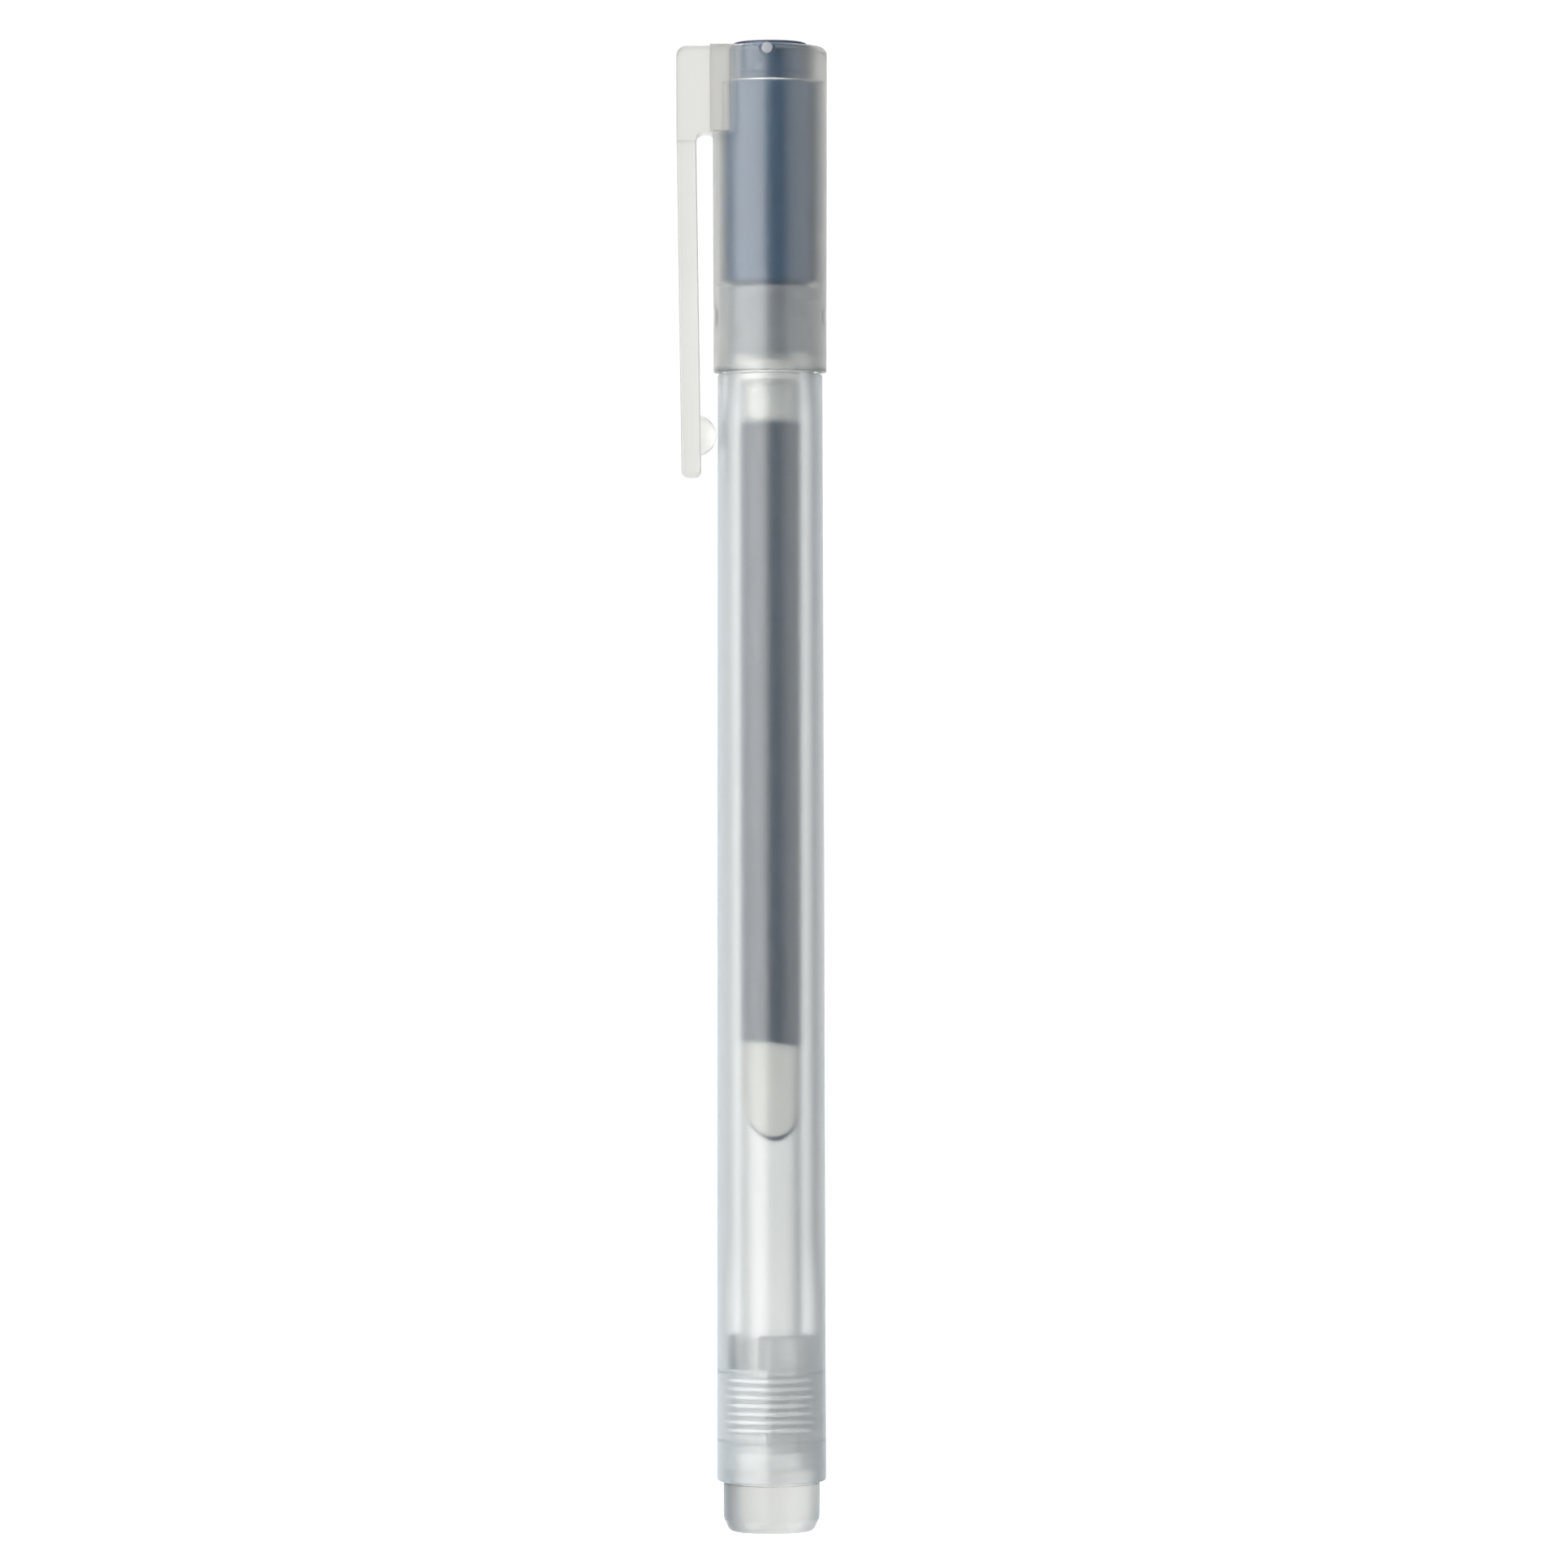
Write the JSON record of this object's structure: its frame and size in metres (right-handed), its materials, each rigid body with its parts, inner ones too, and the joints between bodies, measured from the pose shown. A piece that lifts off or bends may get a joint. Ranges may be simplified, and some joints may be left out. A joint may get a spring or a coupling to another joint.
{
  "type": "gel pen",
  "caption": "Capped gel pen: frosted barrel and cap with a moulded pocket clip, coloured inner cap, rear plug, and a removable refill with a ball tip.",
  "frame": {"origin": "centre of the rear plug's flat end face", "axes": "+Z along the pen's axis from the rear end to the cap; the pocket clip is on the -X side"},
  "size_m": [0.015, 0.0114, 0.1493],
  "materials": {
    "frosted_plastic": "frosted translucent polypropylene",
    "navy_plastic": "satin navy",
    "refill_plastic": "clear satin polypropylene",
    "white_plastic": "satin white",
    "blue_black_ink": "wet",
    "clear_grease": "wet, slightly cloudy",
    "stainless_steel": "turned",
    "tungsten_carbide": "polished"
  },
  "bodies": {
    "barrel": {"barrel": "frosted_plastic", "front_holder": "navy_plastic"},
    "cap": {"cap_shell": "frosted_plastic", "cap_plug": "navy_plastic"},
    "clip": {"clip_arm": "frosted_plastic"},
    "rear_plug": {"rear_plug": "frosted_plastic"},
    "refill": {"refill_tube": "refill_plastic", "tip_holder": "white_plastic", "ink": "blue_black_ink", "ink_follower": "clear_grease", "nib": "stainless_steel"},
    "ball": {"ball": "tungsten_carbide"}
  },
  "joints": [
    {"name": "cap_pull", "type": "slide", "parent": "barrel", "child": "cap", "axis": [0, 0, 1], "range_m": [0, 0.035]},
    {"name": "clip_flex", "type": "hinge", "parent": "cap", "child": "clip", "pos_m": [-0.00835, 0, 0.1401], "axis": [0, 1, 0], "range_deg": [0, 5], "stiffness_Nm_per_rad": 0.6},
    {"name": "rear_plug_pull", "type": "slide", "parent": "barrel", "child": "rear_plug", "axis": [0, 0, -1], "range_m": [0, 0.02]},
    {"name": "refill_pull", "type": "slide", "parent": "barrel", "child": "refill", "axis": [0, 0, -1], "range_m": [0, 0.02]},
    {"name": "ball_roll", "type": "hinge", "parent": "refill", "child": "ball", "pos_m": [0, 0, 0.1389], "axis": [1, 0, 0], "continuous": true}
  ],
  "couplings": [
    {"joint": "refill_pull", "follows": "rear_plug_pull", "ratio": 1}
  ]
}
